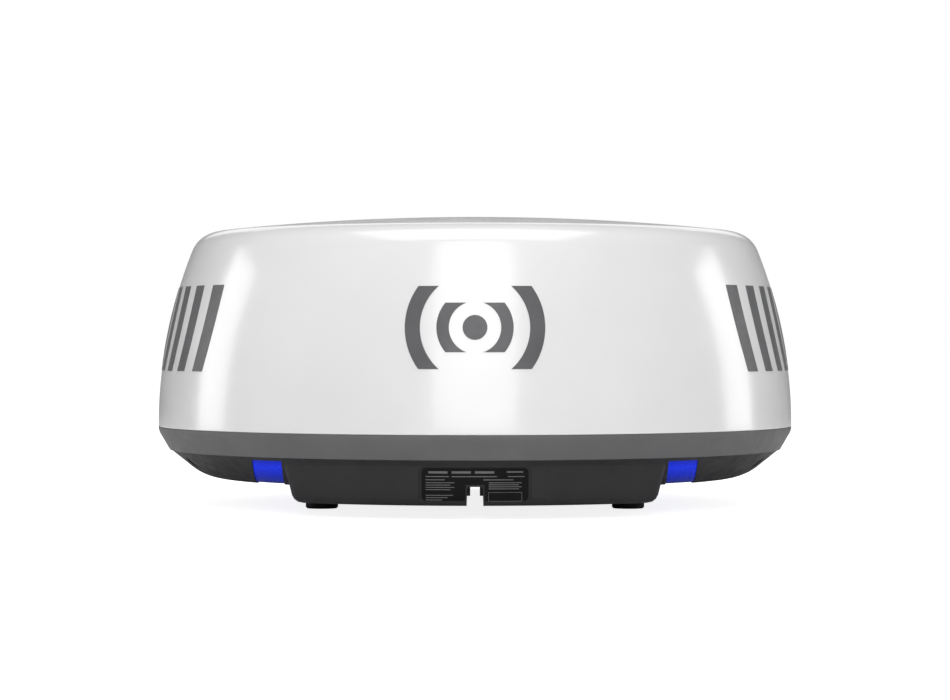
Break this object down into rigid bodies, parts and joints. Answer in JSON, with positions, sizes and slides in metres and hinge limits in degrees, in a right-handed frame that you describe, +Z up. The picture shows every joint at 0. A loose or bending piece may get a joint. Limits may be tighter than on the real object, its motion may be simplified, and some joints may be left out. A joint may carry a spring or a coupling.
{
  "type": "radar dome antenna",
  "caption": "Marine radar dome: a gloss white radome bolted to a grey cast base with a raised pedestal, over a belt-driven rotating array.",
  "frame": {"origin": "centre of the four foot pads, on the surface that they rest on", "axes": "+Z up along the array's spin axis; -Y towards the cable side with the rating label; +X to the right of that side"},
  "size_m": [0.51, 0.51, 0.23],
  "materials": {
    "dome_white": "gloss white weatherproof shell",
    "graphic_grey": "printed grey film",
    "base_grey": "fine textured paint on a casting",
    "rubber_black": "moulded rubber",
    "steel": "stainless",
    "bearing_steel": "ground",
    "label_black": "satin film",
    "plastic_black": "moulded",
    "light_blue": "tinted light guide",
    "board_green": "solder mask",
    "aluminium": "machined",
    "brass": "turned",
    "copper": "gold-flashed copper foil",
    "pulley_plastic": "moulded",
    "belt_rubber": "moulded",
    "motor_paint": "black paint",
    "cast_iron": "as cast"
  },
  "bodies": {
    "root": {"radome": "dome_white", "radome_inserts": "brass", "front_emblem": "graphic_grey", "rear_emblem": "graphic_grey", "side_graphic_left": "graphic_grey", "side_graphic_right": "graphic_grey", "rim_gasket": "rubber_black", "base_housing": "base_grey", "radome_screws": "steel", "rating_label": "label_black", "cable_grommet": "rubber_black", "breather_vent": "plastic_black", "light_guide_left": "light_blue", "light_guide_right": "light_blue", "led_board_left": "board_green", "led_board_right": "board_green", "foot_pads": "rubber_black", "mount_inserts": "steel", "ethernet_socket": "plastic_black", "power_socket": "plastic_black", "deck_plate": "aluminium", "deck_screws": "steel", "bearing_housing": "aluminium", "housing_screws": "steel", "upper_outer_race": "bearing_steel", "lower_outer_race": "bearing_steel", "drive_belt": "belt_rubber", "motor": "motor_paint", "tensioner_arm": "steel", "tensioner_spring": "steel", "idler_pin": "steel", "zero_sensor": "plastic_black", "rotary_joint_stator": "brass", "control_board": "board_green", "control_shield": "steel", "power_board": "board_green", "heat_sink": "aluminium"},
    "array": {"spindle": "steel", "upper_inner_race": "bearing_steel", "lower_inner_race": "bearing_steel", "bearing_spacer": "aluminium", "retaining_ring": "steel", "driven_pulley": "pulley_plastic", "turntable": "aluminium", "turntable_screws": "steel", "zero_flag": "plastic_black", "rotary_joint_rotor": "brass", "array_frame": "aluminium", "radiator_board": "board_green", "radiating_patches": "copper", "array_brackets": "aluminium", "transceiver_box": "aluminium", "transceiver_lid": "aluminium", "balance_weight": "cast_iron"},
    "upper_balls": {"upper_bearing_balls": "bearing_steel"},
    "lower_balls": {"lower_bearing_balls": "bearing_steel"},
    "motor_rotor": {"motor_shaft": "steel", "motor_pulley": "aluminium"},
    "idler": {"idler_roller": "pulley_plastic"}
  },
  "joints": [
    {"name": "array_spin", "type": "hinge", "parent": "root", "child": "array", "pos_m": [0, 0, 0.05], "axis": [0, 0, 1], "continuous": true},
    {"name": "upper_balls_spin", "type": "hinge", "parent": "root", "child": "upper_balls", "pos_m": [0, 0, 0.0475], "axis": [0, 0, 1], "continuous": true},
    {"name": "lower_balls_spin", "type": "hinge", "parent": "root", "child": "lower_balls", "pos_m": [0, 0, 0.0295], "axis": [0, 0, 1], "continuous": true},
    {"name": "motor_spin", "type": "hinge", "parent": "root", "child": "motor_rotor", "pos_m": [0, 0.125, 0.05], "axis": [0, 0, 1], "continuous": true},
    {"name": "idler_spin", "type": "hinge", "parent": "root", "child": "idler", "pos_m": [0.017, 0.092, 0.06], "axis": [0, 0, 1], "continuous": true}
  ],
  "couplings": [
    {"joint": "upper_balls_spin", "follows": "array_spin", "ratio": 0.419},
    {"joint": "lower_balls_spin", "follows": "array_spin", "ratio": 0.419},
    {"joint": "motor_spin", "follows": "array_spin", "ratio": 6.6667},
    {"joint": "idler_spin", "follows": "array_spin", "ratio": 6}
  ]
}
